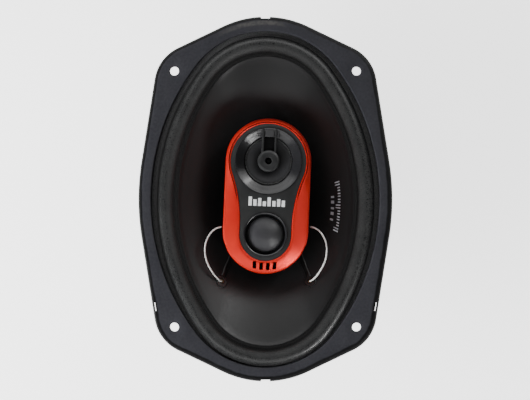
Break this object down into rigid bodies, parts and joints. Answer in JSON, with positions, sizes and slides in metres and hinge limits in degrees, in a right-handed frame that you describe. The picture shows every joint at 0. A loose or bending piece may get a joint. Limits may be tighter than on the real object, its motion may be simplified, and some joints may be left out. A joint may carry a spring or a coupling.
{
  "type": "coaxial car speaker",
  "caption": "Oval three-way coaxial car speaker: cone woofer with a red pod carrying a bridged midrange and a dome tweeter.",
  "frame": {"origin": "centre of the four mounting holes on the rear face of the steel flange", "axes": "+Z the firing direction, +Y the long axis of the oval towards the midrange, +X to the right seen from the front"},
  "size_m": [0.165, 0.2368, 0.0946],
  "materials": {
    "basket_paint": "semi-gloss black paint on stamped steel",
    "trim_plastic": "fine-grained slate grey moulded plastic",
    "zinc_plate": "bright zinc plating",
    "ferrite": "dull dark grey sintered ferrite",
    "surround_rubber": "matt, finely grained black foam rubber",
    "spider_cloth": "resin-treated corrugated cotton",
    "fibre_board": "brown pressed fibre",
    "brass_tab": "satin brass",
    "tin_tab": "tinned",
    "cone_paper": "smooth coated black paper pulp",
    "former_film": "amber polyimide film",
    "coil_copper": "enamelled copper wire",
    "felt": "black felt",
    "glue_black": "glossy black adhesive",
    "tinsel": "braided tinsel wire",
    "pod_black": "black moulded plastic",
    "screw_steel": "zinc-plated steel",
    "pod_red": "glossy red-orange moulded plastic",
    "face_plastic": "grained charcoal plastic",
    "driver_gloss": "semi-gloss black plastic",
    "mid_paper": "matt black paper",
    "dome_film": "semi-gloss grey-black film",
    "neodymium": "nickel-plated",
    "capacitor_sleeve": "shrunk plastic sleeve"
  },
  "bodies": {
    "frame": {"basket": "basket_paint", "trim_ring": "trim_plastic", "top_plate": "zinc_plate", "magnet": "ferrite", "yoke": "zinc_plate", "base_rivets": "zinc_plate", "surround": "surround_rubber", "spider": "spider_cloth", "terminal_board": "fibre_board", "terminal_positive": "brass_tab", "terminal_negative": "tin_tab", "terminal_rivets": "tin_tab", "front_lead_left": "tinsel", "front_lead_right": "tinsel", "rear_lead_left": "tinsel", "rear_lead_right": "tinsel", "pod_post": "pod_black", "pod_screw": "screw_steel", "pod_washer": "screw_steel", "pod_back": "pod_black", "pod_back_screws": "screw_steel", "pod_shell": "pod_red", "pod_face": "face_plastic", "mid_frame": "driver_gloss", "mid_bridge": "face_plastic", "mid_edge": "surround_rubber", "mid_top_plate": "zinc_plate", "mid_magnet": "ferrite", "mid_yoke": "zinc_plate", "tweeter_frame": "driver_gloss", "tweeter_edge": "surround_rubber", "tweeter_pole_plate": "zinc_plate", "tweeter_magnet": "neodymium", "tweeter_cup": "zinc_plate", "capacitor_mid": "capacitor_sleeve", "capacitor_tweeter": "capacitor_sleeve"},
    "cone_assembly": {"cone": "cone_paper", "former": "former_film", "voice_coil": "coil_copper", "dust_ring": "felt", "lead_eyelets": "brass_tab", "lead_adhesive": "glue_black", "coil_leads": "glue_black"},
    "mid_diaphragm": {"mid_cone": "mid_paper", "mid_dust_cap": "mid_paper", "mid_voice_coil": "coil_copper"},
    "tweeter_diaphragm": {"tweeter_dome": "dome_film", "tweeter_voice_coil": "coil_copper"}
  },
  "joints": [
    {"name": "cone_travel", "type": "slide", "parent": "frame", "child": "cone_assembly", "axis": [0, 0, 1], "range_m": [-0.0045, 0.0045], "stiffness_N_per_m": 3300, "deforming": ["surround", "spider", "front_lead_left", "front_lead_right", "rear_lead_left", "rear_lead_right"]},
    {"name": "mid_travel", "type": "slide", "parent": "frame", "child": "mid_diaphragm", "axis": [0, 0, 1], "range_m": [-0.0004, 0.0004], "stiffness_N_per_m": 500, "deforming": ["mid_edge"]},
    {"name": "tweeter_travel", "type": "slide", "parent": "frame", "child": "tweeter_diaphragm", "axis": [0, 0, 1], "range_m": [-0.0002, 0.0002], "stiffness_N_per_m": 500, "deforming": ["tweeter_edge"]}
  ]
}
